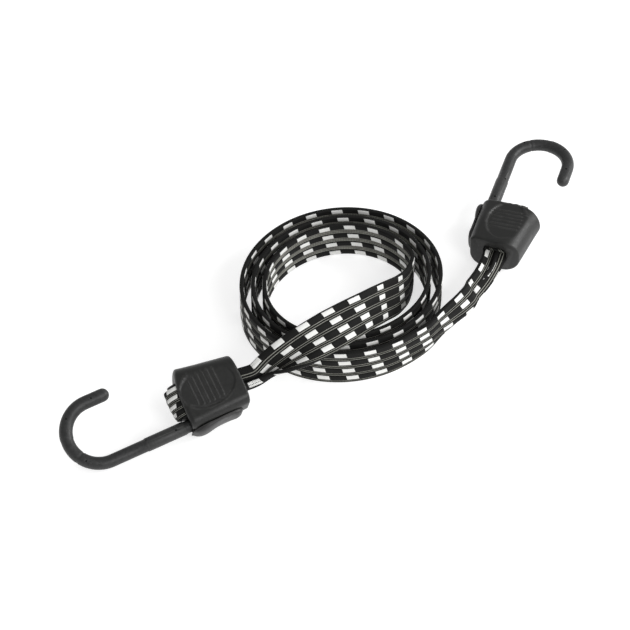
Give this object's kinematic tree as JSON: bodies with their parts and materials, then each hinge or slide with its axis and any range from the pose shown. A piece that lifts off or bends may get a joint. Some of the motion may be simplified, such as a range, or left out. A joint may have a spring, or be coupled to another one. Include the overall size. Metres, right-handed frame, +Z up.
{
  "type": "bungee cord",
  "caption": "Flat elastic bungee cord, coiled on edge, with a coated steel hook in an adjustable wedge-lock housing at each end.",
  "frame": {"origin": "floor level, below the middle of the box round the two hook units", "axes": "+X to the right, +Y away from the viewer of the picture, +Z up"},
  "size_m": [0.308, 0.2636, 0.0513],
  "materials": {
    "housing": "moulded dark grey plastic, satin",
    "hook_coat": "moulded plastic coat, satin",
    "hook_wire": "drawn steel wire",
    "wedge": "moulded plastic",
    "thumb_saddle": "moulded plastic, satin",
    "webbing": "ribbed elastic webbing, black with pale grey dashes",
    "thread": "black sewing thread"
  },
  "bodies": {
    "root": {"housing_left": "housing", "strap_loop_left": "webbing", "tail_bartack_left": "thread", "housing_right": "housing", "strap_loop_right": "webbing", "tail_bartack_right": "thread", "strap_lead_left": "webbing", "strap_coil": "webbing", "strap_lead_right": "webbing"},
    "left_hook": {"hook_coat_left": "hook_coat", "hook_core_left": "hook_wire", "wedge_left": "wedge", "thumb_saddle_left": "thumb_saddle"},
    "right_hook": {"hook_coat_right": "hook_coat", "hook_core_right": "hook_wire", "wedge_right": "wedge", "thumb_saddle_right": "thumb_saddle"}
  },
  "joints": [
    {"name": "left_release", "type": "slide", "parent": "root", "child": "left_hook", "axis": [-0.8875, -0.4502, -0.0983], "range_m": [-0.006, 0]},
    {"name": "right_release", "type": "slide", "parent": "root", "child": "right_hook", "axis": [0.3183, 0.9473, 0.0356], "range_m": [-0.006, 0]}
  ]
}
